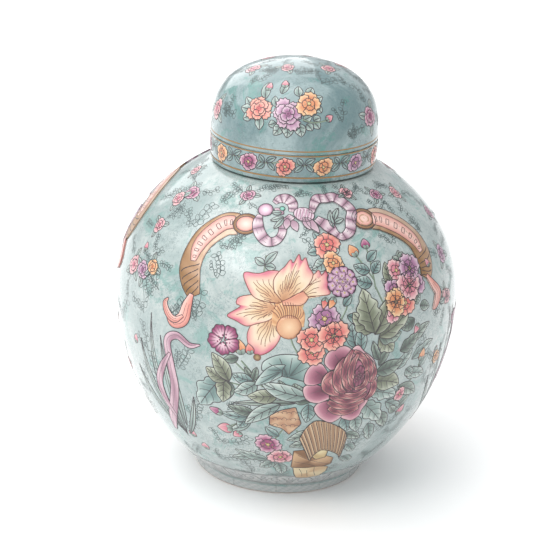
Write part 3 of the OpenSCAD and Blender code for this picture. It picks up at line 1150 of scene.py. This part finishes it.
# Leaves of the bouquet, the topmost first: base, tip, width, tones, bend, lobes
LEAVES = (
    ((29.5, 153), (26, 182), 18, OLIVE, 0.04, 4), ((29.5, 152), (36, 175), 13, OLIVE, -0.1, 0),
    ((29, 154), (22, 168), 13, OLIVE, 0.1, 3), ((31, 150), (44, 166), 13, OLIVE, -0.15, 2),
    ((25, 141), (25, 160), 8, TEAL, 0.05, 0), ((23, 145), (21.5, 161), 9, TEAL, 0.08, 0),
    ((31, 150), (40, 150), 12, DARK, -0.1, 2), ((31, 149), (37, 138), 13, OLIVE, 0.1, 3),
    ((32, 134), (29, 148), 6, DARK, 0.1, 2), ((32, 130), (36, 142), 6, DARK, 0.1, 0),
    ((31, 126), (42, 130), 11, DARK, -0.1, 0), ((31, 119), (42, 112), 14, OLIVE, 0.12, 0),
    ((30, 112), (42, 103), 13, PALE, 0.08, 3), ((28, 104), (38, 84), 15, PALE, 0.05, 3),
    ((26, 93), (29, 78), 9, PALE, 0.08, 0), ((22, 94), (25, 80), 9, TEAL, 0.08, 0),
    ((44, 122), (48, 116), 8, PALE, 0, 2), ((40, 137), (48, 146), 11, DARK, -0.1, 2),
    ((40, 124), (46, 136), 9, PALE, 0.1, 2), ((9, 112), (-7, 121), 12, PALE, 0.1, 0),
    ((10, 108), (0, 112), 10, DARK, -0.1, 2), ((6, 112), (4, 122), 9, DARK, 0.1, 0),
    ((3, 112), (-1, 124), 7, DARK, 0.1, 2), ((8, 116), (2, 116), 8, GREEN, 0, 0),
    ((-1, 113), (-11, 110), 11, OLIVE, 0.1, 0), ((9, 106), (9, 91), 9, TEAL, 0.1, 0),
    ((0, 106), (-12, 86), 10, PALE, -0.1, 0), ((5, 107), (-16, 101), 5, GREEN, -0.08, 0),
    ((-8, 97), (-18, 100), 8, DARK, 0.1, 0), ((-8, 94), (-21, 92), 8, TEAL, 0.1, 0),
    ((-12, 92), (-15, 82), 7, TEAL, 0.1, 0), ((-10, 90), (-19, 77), 6, PALE, 0.1, 0),
    ((-8, 121), (-15.5, 112), 10, PALE, 0.2, 0), ((-9, 122), (-16, 125), 8, TEAL, 0.15, 0),
    ((-9, 122), (-8, 132), 5, DARK, 0, 2), ((-9, 122), (-12, 131), 4.5, DARK, 0, 2),
    ((-17, 119), (-23, 137), 11, OLIVE, -0.1, 0), ((-18, 119), (-25, 126), 10, OLIVE, 0.1, 0),
    ((-19, 120), (-19.5, 102), 12, OLIVE, 0.05, 2), ((-17, 119), (-17, 106), 7, DARK, 0, 0),
    ((-20, 119), (-28.5, 95), 20, TEAL, -0.04, 3), ((-14, 137), (-19, 134), 6, DARK, 0.1, 0),
    ((13, 70), (4, 67), 8, GREEN, -0.2, 0), ((12, 84), (3, 74), 9, GREEN, 0.1, 0),
    ((0, 78), (-5, 86), 6, TEAL, 0.1, 0), ((20, 166), (25, 160), 6, TEAL, 0.1, 0),
    ((19, 172), (22, 178), 5, TEAL, 0.1, 0), ((12, 208), (7, 206), 5.5, TEAL, 0.1, 0),
    ((13, 214), (10, 220), 4.5, TEAL, 0.1, 0), ((14, 202), (8.5, 196), 8, PALE, 0.25, 0),
    ((16, 204), (20, 210), 6, PALE, 0.1, 0), ((30, 192), (24, 197), 7, TEAL, 0.1, 0),
    ((31, 190), (35, 197), 7, TEAL, 0.1, 0), ((30, 184), (24, 189), 8.5, TEAL, 0.15, 0),
    ((30, 198), (35, 204), 6, TEAL, 0.1, 0), ((38, 180), (37, 196), 8, OLIVE, 0.1, 0),
    ((40, 178), (34, 186), 8, GREEN, 0.1, 2), ((38, 162), (48, 169), 12, OLIVE, 0.15, 0),
    ((46, 166), (50, 170), 8, GREEN, 0.1, 2), ((46, 156), (40, 152), 9, DARK, 0.1, 0),
    ((49, 163), (54, 160), 7, GREEN, 0.1, 0), ((44, 194), (47, 199), 5, GREEN, 0.1, 0),
    ((44, 194), (41, 198), 5, GREEN, 0.1, 0), ((44, 194), (45, 201), 5, GREEN, 0, 0),
    ((-8, 197), (-4, 206), 4.6, PALE, 0.1, 0), ((-8, 197), (-12, 201), 4.6, PALE, 0.1, 0),
    ((-8, 196), (-4, 195), 4.6, PALE, 0.1, 0), ((45, 88), (41, 95), 6, GREEN, 0.1, 0),
    ((46, 92), (50, 99), 6, GREEN, 0.1, 0), ((51, 120), (55, 127), 6, PALE, 0.1, 0),
    ((-2, 50), (-8, 40), 9, PALE, 0.1, 2), ((-4, 52), (-18, 58), 9, PALE, 0.1, 3),
    ((0, 48), (2, 32), 9, PALE, 0.1, 2), ((44, 118), (55, 112), 10, PALE, 0.12, 2),
    ((42, 110), (53, 98), 10, GREEN, 0.1, 0), ((38, 100), (48, 86), 9, PALE, 0.1, 2),
    ((36, 92), (42, 76), 9, GREEN, 0.1, 0), ((46, 128), (57, 136), 9, PALE, 0.1, 2),
    ((33, 84), (37, 66), 9, PALE, 0.08, 2), ((44, 140), (54, 150), 8, GREEN, 0.1, 0),
    ((24, 78), (32, 70), 7, GREEN, 0.1, 0), ((28, 52), (34, 42), 8, PALE, 0.1, 2),
    ((27, 66), (32, 56), 8, PALE, 0.1, 2), ((-10, 56), (-20, 48), 8, PALE, 0.1, 3),
)
# The large leaf that folds over, left of the peony: its two halves
FOLDED_LEAF = (
    ((2, 126), ((8, 123), (9, 133), (7, 139.5), (3, 142), (-2, 141), (-6, 136), (-6.5, 130))),
    ((0, 131), ((1, 135), (-3, 134), (-6, 129), (-8.5, 119), (-4, 122), (0, 127))),
)
# Stems, as the places that they pass through
STEMS = (
    ((2, 153), (3, 148), (5, 141)), ((5, 155), (7, 148), (10, 140)), ((31, 180), (31, 194), (31, 207)),
    ((31, 186), (28, 196), (26, 202)), ((36, 160), (33, 172), (31, 182)), ((19, 180), (20, 172), (18, 164)),
    ((-17, 137), (-12, 128), (-8, 120)), ((-13, 135), (-9, 126), (-6, 118)),
    ((-20, 92), (-12, 95), (-4, 100)), ((-18, 82), (-13, 88), (-6, 94)), ((47, 84), (45, 92), (42, 100)),
    ((14, 60), (10, 74), (6, 84)), ((14, 210), (17, 206), (17, 198)), ((-20, 119), (-12, 117), (-3, 113)),
    ((51, 124), (49, 114), (44, 106)), ((-3, 70), (0, 80), (2, 88)), ((-8, 190), (-8, 197), (-8, 203)),
)
# Open flowers: centre, radius, tones
BLOSSOMS = (
    ((15, 211), 8.5, CORAL), ((16.5, 199), 7, ORANGE), ((12.5, 165), 9.5, PURPLE), ((9, 144), 9, CORAL),
    ((8.5, 152), 8.5, CORAL), ((15.5, 154), 9.5, CORAL), ((41, 189), 7, PINK), ((38, 178), 7, PURPLE),
    ((37, 163), 6, PINK), ((49, 178), 8, PURPLE), ((42, 168), 9, CORAL), ((38, 170), 8.5, ORANGE),
    ((45, 178), 9.5, PINK), ((47, 188), 9.5, PURPLE), ((-4, 69), 9, MAGENTA), ((1, 56), 8, PINK),
    ((44, 103), 5, PINK),
)
# Buds: base, tip, width, tones
BUDS = (
    ((-13, 139), (-14, 149), 7.5, ORANGE), ((-10, 140), (-11, 147), 5.5, CORAL),
    ((26, 202), (24, 210), 7, ORANGE), ((31, 206), (31, 213), 6.5, MAGENTA),
    ((16, 178), (14, 171), 4.5, ORANGE), ((13, 178), (12, 171), 4, CORAL), ((47, 83), (49, 92), 6.5, PINK),
    ((51, 124), (52, 133), 6.5, ORANGE), ((48, 152), (46, 146), 5, PINK),
    ((-20, 92), (-25, 95), 6, MAGENTA), ((-17, 80), (-23, 79), 9, PINK), ((-14, 78), (-17, 73), 6, PINK),
    ((-37, 60), (-36, 68), 6, PINK), ((-33, 49), (-32, 57), 6, PINK), ((-58, 122), (-57, 129), 5, PINK),
    ((-60, 184), (-61, 190), 4.5, PINK),
)
# Small roses scattered round the shoulder: centre, radius, tones
SPRAYS = (
    ((-24, 243), 4.6, MAGENTA), ((-57, 232), 6, MAGENTA), ((-62, 224), 5.5, PINK), ((-60, 203), 5, PINK),
    ((-64, 172), 6.5, PINK), ((-57, 173), 6, PURPLE), ((-52, 178), 5, ORANGE), ((33, 247), 4.2, PINK),
    ((52, 241), 4.6, MAGENTA), ((68, 236), 5, PINK), ((71, 186), 6, PURPLE), ((66, 160), 5.5, PINK),
    ((62, 120), 5, ORANGE), ((-84, 120), 5.5, PINK), ((84, 210), 5.5, MAGENTA), ((-76, 245), 4.4, PINK),
    ((-90, 150), 5.5, ORANGE), ((80, 90), 5, PINK), ((75, 140), 5, MAGENTA), ((-72, 96), 5, PINK),
)
# Twigs sketched in line: foot, aim, size
TWIGS = (
    ((-52, 147), 80, 22), ((-44, 210), 70, 20), ((-29, 155), 100, 18), ((-36, 233), 60, 14),
    ((-24, 184), 80, 16), ((-14, 250), 20, 12), ((20, 246), 40, 12), ((-20, 204), 110, 14),
    ((-70, 130), 60, 20), ((-46, 166), 110, 18), ((4, 216), 0, 13), ((-66, 240), 100, 12),
    ((58, 150), 70, 18), ((64, 205), 80, 16), ((43, 206), 60, 13), ((60, 100), 80, 20), ((30, 60), 60, 18),
    ((38, 72), 70, 18), ((-30, 80), 120, 18), ((-22, 62), 60, 20), ((-10, 46), 30, 22), ((6, 34), 150, 18),
    ((-26, 40), 70, 18), ((-48, 100), 90, 20), ((22, 26), 60, 16), ((-12, 28), 120, 16),
    ((-40, 150), 40, 18), ((-18, 216), 190, 12), ((46, 230), 30, 12), ((8, 188), 70, 9),
    ((-62, 60), 80, 20), ((52, 64), 80, 20), ((44, 40), 70, 18), ((-44, 34), 70, 18), ((2, 246), 20, 10),
    ((-40, 62), 60, 18), ((-56, 84), 80, 18), ((-36, 118), 70, 18), ((-18, 96), 40, 14), ((-8, 62), 20, 14),
    ((-34, 196), 40, 16), ((-50, 122), 90, 18), ((52, 128), 80, 16), ((-28, 218), 70, 12),
    ((40, 96), 60, 14),
)
# Arms of the garland: path, its beaded band, and the place of its boss
ARMS = (
    (((-22, 221, 15), (-28, 219, 17), (-33.5, 209, 17), (-35.5, 198, 16), (-35.5, 187, 16),
     (-33.5, 178, 14), (-31, 170, 9)), ((-24, 222, 9), (-29, 219, 10.5), (-33.5, 209, 10.5),
     (-35.2, 200, 9), (-35, 191, 4)), (-19, 222)),
    (((38, 225, 14), (44, 223, 17), (51, 215, 17), (56, 204, 16), (57, 193, 16), (56, 184, 13),
     (54, 179, 8)), ((39.5, 225, 9), (44.5, 222, 10.5), (51, 214, 10.5), (55.5, 204, 9), (56.5, 195, 4)),
     (35, 226)),
)
# Tassels: the places that they pass through, and their width
TASSELS = (
    (((-32, 171), (-33, 163), (-34, 154), (-38, 150), (-41, 156)), 9),
    (((-34, 156), (-37, 152), (-40, 154), (-42, 160), (-41, 164)), 5),
    (((55, 180), (58, 172), (60, 166), (58, 160), (56, 157)), 7),
)
# Reeds: base, tip, width, bend
REEDS = (
    ((-40, 58), (-50, 150), 5, 0.06), ((-40, 60), (-44, 138), 5, -0.05), ((-42, 66), (-56, 128), 4.5, 0.05),
    ((-38, 70), (-38, 118), 4.5, -0.05), ((-41, 64), (-60, 104), 4.5, 0.1), ((-38, 62), (-30, 100), 4, -0.08),
)
# The two runs of the ribbon among the reeds: azimuth, height, width
STREAMERS = (
    ((-27, 140, 1), (-31, 138, 4), (-36, 142, 5), (-40, 136, 6), (-39, 120, 6.5), (-38.5, 104, 7),
     (-41, 88, 7.5), (-45, 72, 7), (-47, 60, 2)),
    ((-39, 128, 2), (-43, 116, 5), (-46, 102, 6), (-45, 88, 5.5), (-42, 76, 2)),
)
# Leaves, small roses and twigs of the lid
LID_LEAVES = (
    ((-33, 46), (-41, 51), 5), ((-33, 44), (-42, 44), 6), ((-32, 41), (-38, 37), 6),
    ((-26, 40), (-24, 32), 6), ((-13, 38), (-18, 36), 5), ((-9, 38), (-14, 30), 6.5),
    ((-5, 38), (-5, 29), 7), ((2, 38), (5, 30), 7), ((3, 56), (2, 64), 5.5), ((11, 57), (15, 63), 5.5),
    ((14, 52), (22, 56), 5.5), ((15, 49), (19, 45), 5), ((-24, 52), (-28, 65), 6),
    ((-12, 57), (-8, 67), 5), ((-14, 48), (-17, 55), 4.5), ((6, 40), (12, 43), 5), ((8, 38), (12, 34), 5),
    ((13, 40), (18, 42), 5), ((13, 39), (17, 35), 5),
)
LID_SPRAYS = (
    ((64, 37), 7, MAGENTA),
    ((-70, 36), 6.5, PINK),
    ((62, 80), 5, PINK),
    ((-70, 72), 5, PINK),
    ((-20, 84), 4.5, PINK),
)
LID_TWIGS = (
    ((26, 66), 10, 16), ((34, 38), 60, 14), ((-54, 34), 80, 13), ((44, 26), 80, 9), ((-45, 60), 60, 13),
    ((85, 50), 80, 14), ((-88, 56), 80, 14), ((40, 78), 120, 12), ((-30, 76), 160, 12), ((80, 28), 70, 10),
    ((-84, 26), 80, 10), ((0, 76), 30, 10),
)


def foliage(e):
    """The stems and leaves of the bouquet, and the large leaf that folds over."""
    for points in STEMS:
        stem(e, points)
    for base, tip, width, tones, bend, lobes in LEAVES[::-1]:
        leaf(e, base, tip, width, tones, bend, lobes)
    for root, edge in FOLDED_LEAF:
        form = Sail(e.skin, root, edge)
        e.lay(form, lambda t, u: tint(0.05 + 0.85 * t ** 1.3 + 0.12 * np.cos(9 * u),
                                      "465c5b", "7f9995", "c6d4ce"), rows=14, cols=25)
        for u in (-0.6, -0.3, 0.0, 0.3, 0.6):
            e.rule(form, np.linspace(0.1, 0.85, 8), np.full(8, u), 0.45)


def small_flowers(e):
    """The open flowers and buds round the lily and the peony."""
    for k, (centre, radius, tones) in enumerate(BLOSSOMS):
        blossom(e, centre, radius, tones, 90 + 17 * k)
    for base, tip, width, tones in BUDS:
        bud(e, base, tip, width, tones)
    anemone(e, (-19, 147), 10.5, MAGENTA)
    hydrangea(e, (19, 187), 9.5, PURPLE)


def bouquet(turn, side, garland=True):
    """The large bouquet, which is painted three times round the jar, twice under a garland."""
    for name, motif, line in (("leaves", foliage, ink), ("lily", lily, brown_ink), ("peony", peony, ink),
                              ("small_flowers", small_flowers, ink)):
        e = Enamel(JAR, turn)
        motif(e)
        e.pieces(side + "_" + name, line)

    e, gold = Enamel(JAR, turn), Enamel(JAR, turn)
    if garland:
        for path, beads, boss in ARMS:
            scroll_arm(e, gold, path, beads, boss)
        for points, width in TASSELS:
            tassel(e, points, width)
    e.pieces(side + "_garland", ink)
    wrapping(gold)
    gold.pieces(side + "_gilding", ink, "gilding")

    if garland:
        e = Enamel(JAR, turn)
        bow(e)
        e.pieces(side + "_bow", ink)


def reeds(turn, side):
    """Tall reeds with a long pink ribbon, between the two bouquets."""
    e = Enamel(JAR, turn)
    for base, tip, width, bend in REEDS:
        leaf(e, base, tip, width, PALE, bend, veins=2)
    for path in STREAMERS:
        form = Band(e.skin, path)
        e.lay(form, lambda t, u: tint(0.5 + 0.5 * np.cos(14 * t + 2 * u), "a67b8d", "d6b4bf"),
              rows=50, cols=7)
        e.rule(form, np.linspace(0.05, 0.95, 40), np.full(40, 0.1), 0.28)
    e.pieces(side + "_reeds", ink)


def sketches(turn, side, dice, lowest=0):
    """The small roses above a height, and all the twigs, of one side of the jar."""
    e, line = Enamel(JAR, turn), Enamel(JAR, turn)
    for centre, radius, tones in SPRAYS:
        if centre[1] > lowest:
            spray(e, line, centre, radius, tones, dice)
    for foot, aim, size in TWIGS:
        two_twigs(line, foot, aim, size, 50, dice)
    e.pieces(side + "_sprays", ink)
    line.pieces(side + "_twigs", grey_ink)


def foot_border():
    """A pale band round the foot, with a running scroll drawn on it."""
    def paint(t, u):
        share = 0.5 + 0.3 * np.cos(10 * math.pi * t + 4 * u) + 0.2 * np.cos(16 * math.pi * t - 7 * u)
        return tint(share, "abb3b3", "bfc4c2", "cfcdcd")

    e = Enamel(JAR)
    for start in range(0, 360, 30):
        for up, width in ((18.5, 18.6), (3.4, 4.4)):
            path = [(start + a, up, width) for a in (0.01, 10, 20, 29.99)]
            e.lay(Band(e.skin, path), paint, rows=24, cols=9, line=0)
    for up in (10, 12, 26.5, 28):
        hoop(e, up, 0.5)
    turn = np.linspace(0, 2.6 * math.pi, 28)
    shrink = np.linspace(1, 0.2, 28)
    wave = np.linspace(0, 2 * math.pi, 12)
    for start in range(0, 360, 15):
        middle = start + 7.5
        e.draw(start + 4.6 * shrink * np.cos(turn), 19.5 + 6 * shrink * np.sin(turn), 0.5)
        e.draw(middle + 1.8 * np.cos(turn), 16.5 + 2.6 * np.sin(turn), 0.45)
        e.draw(middle + 1.2 * np.cos(turn), 22.5 + 2.2 * np.sin(turn), 0.45)
        e.draw(start + np.linspace(3, 12, 12), 19.5 + 3.4 * np.cos(wave), 0.45)
    e.pieces("foot_border", ink)


def lid_paint(dice):
    """The vine band, its gold lines, the bouquets and the sprays of the lid."""
    e = Enamel(LID)
    vine = (ORANGE, MAGENTA, CORAL, ORANGE, PURPLE, CORAL, MAGENTA)
    half = 360 / 28
    for k in range(14):
        azimuth = -5 + 360 / 14 * k
        middle = azimuth + half
        stem(e, ((azimuth + 4, 13), (middle, 11.5), (azimuth + 2 * half - 4, 13)), 0.9)
        for base, tip in (((middle - 1, 12), (middle - 7, 7)), ((middle, 12), (middle + 7, 16)),
                          ((middle - 1, 12), (middle - 5, 16.5)), ((middle + 1, 12), (middle + 6, 7))):
            leaf(e, base, tip, 3.4, TEAL, veins=3)
        blossom(e, (azimuth, 10.3), 6.2, vine[(k + 2) % 7], 90 + 20 * (k % 3))
    e.pieces("lid_vine", ink, body="lid")

    for name, turn in (("lid_front", 0), ("lid_back", 180)):
        e, line = Enamel(LID, turn), Enamel(LID, turn)
        for base, tip, width in LID_LEAVES:
            leaf(e, base, tip, width, PALE, veins=3)
        stem(e, ((5, 41), (13, 39), (22, 40)), 0.9)
        for base, tip in (((22, 40), (27, 43)), ((-25, 58), (-26, 65)), ((-11, 62), (-12, 69))):
            bud(e, base, tip, 4.5, PINK)
        rose(e, (-27, 45), 8.5, CORAL)
        rose(e, (-5, 44), 10, PURPLE, 60)
        blossom(e, (10, 51), 8, ORANGE, 70)
        for centre, radius, tones in LID_SPRAYS:
            spray(e, line, centre, radius, tones, dice)
        e.pieces(name + "_bouquet", ink, body="lid")
        for foot, aim, size in LID_TWIGS:
            two_twigs(line, foot, aim, size, 60, dice)
        line.pieces(name + "_twigs", grey_ink, body="lid")

    e = Enamel(LID)
    for up, width in ((3.2, 0.9), (17.4, 0.7), (20.4, 0.8)):
        hoop(e, up, width)
    e.pieces("lid_gold", gold_line, "gilding", "lid")


dice = random.Random(7)
foot_border()
bouquet(0, "front")
bouquet(221, "back")
bouquet(118, "side", garland=False)
for turn, side in ((0, "front"), (118, "side"), (221, "back")):
    reeds(turn, side)
sketches(0, "front", dice)
sketches(180, "back", dice, lowest=200)
lid_paint(dice)


# ---------------------------------------------------------------- camera, light and floor

CAMERA = Vector((0, -1.1123, 0.5470))
LENS, FILM = 115.47, 36             # in mm
PITCH, YAW, ROLL = -20.353, 0.42, 2.747
MIDDLE = Vector((0, 0, 0.15))       # what the lights face


def put(name, data):
    """A camera or light, put in the scene."""
    made = bpy.data.objects.new(name, data)
    bpy.context.scene.collection.objects.link(made)
    return made


def aim_camera():
    """The camera stands in front of the jar, a little above it, and looks down."""
    data = bpy.data.cameras.new("camera")
    data.lens, data.sensor_width = LENS, FILM
    made = put("camera", data)
    turn = (Matrix.Rotation(math.radians(YAW), 4, "Z") @ Matrix.Rotation(math.radians(90 + PITCH), 4, "X")
            @ Matrix.Rotation(math.radians(ROLL), 4, "Z"))
    made.matrix_world = Matrix.Translation(CAMERA) @ turn
    bpy.context.scene.camera = made


def softbox(name, azimuth, elevation, distance, size, power):
    """A square area light that faces the middle of the jar, and isn't seen itself."""
    data = bpy.data.lights.new(name, "AREA")
    data.shape, data.size, data.energy = "SQUARE", size, power
    made = put(name, data)
    made.visible_camera = False
    a, e = math.radians(azimuth), math.radians(elevation)
    back = Vector((math.sin(a) * math.cos(e), -math.cos(a) * math.cos(e), math.sin(e)))
    made.location = MIDDLE + distance * back
    made.rotation_euler = back.to_track_quat("Z", "Y").to_euler()


def sun(name, power, spread, turn):
    """A broad overhead light, with its spread and turn in degrees."""
    data = bpy.data.lights.new(name, "SUN")
    data.energy, data.angle = power, math.radians(spread)
    put(name, data).rotation_euler = [math.radians(a) for a in turn]


aim_camera()
bpy.ops.object.select_all(action="DESELECT")
bpy.ops.mesh.primitive_plane_add(size=40, location=(0, 0, 0))
floor = bpy.context.object
floor.name = "floor"
white = Finish("floor_white", Base_Color=(0.95, 0.95, 0.945, 1), Roughness=0.8)
floor.data.materials.append(white.material)

softbox("key", -40, 42, 1.3, 0.45, 1.8)
softbox("ceiling", -65, 62, 1.5, 2.0, 19)
softbox("back_panel", -160, 36, 1.8, 1.5, 10)
sun("overhead", 1.2, 140, (28, -32, 0))
world = bpy.data.worlds.new("studio")
world.use_nodes = True
sky = world.node_tree.nodes["Background"].inputs
sky["Color"].default_value = (0.95, 0.98, 1, 1)
sky["Strength"].default_value = 0.66
bpy.context.scene.world = world
bpy.context.scene.view_settings.view_transform = "Standard"
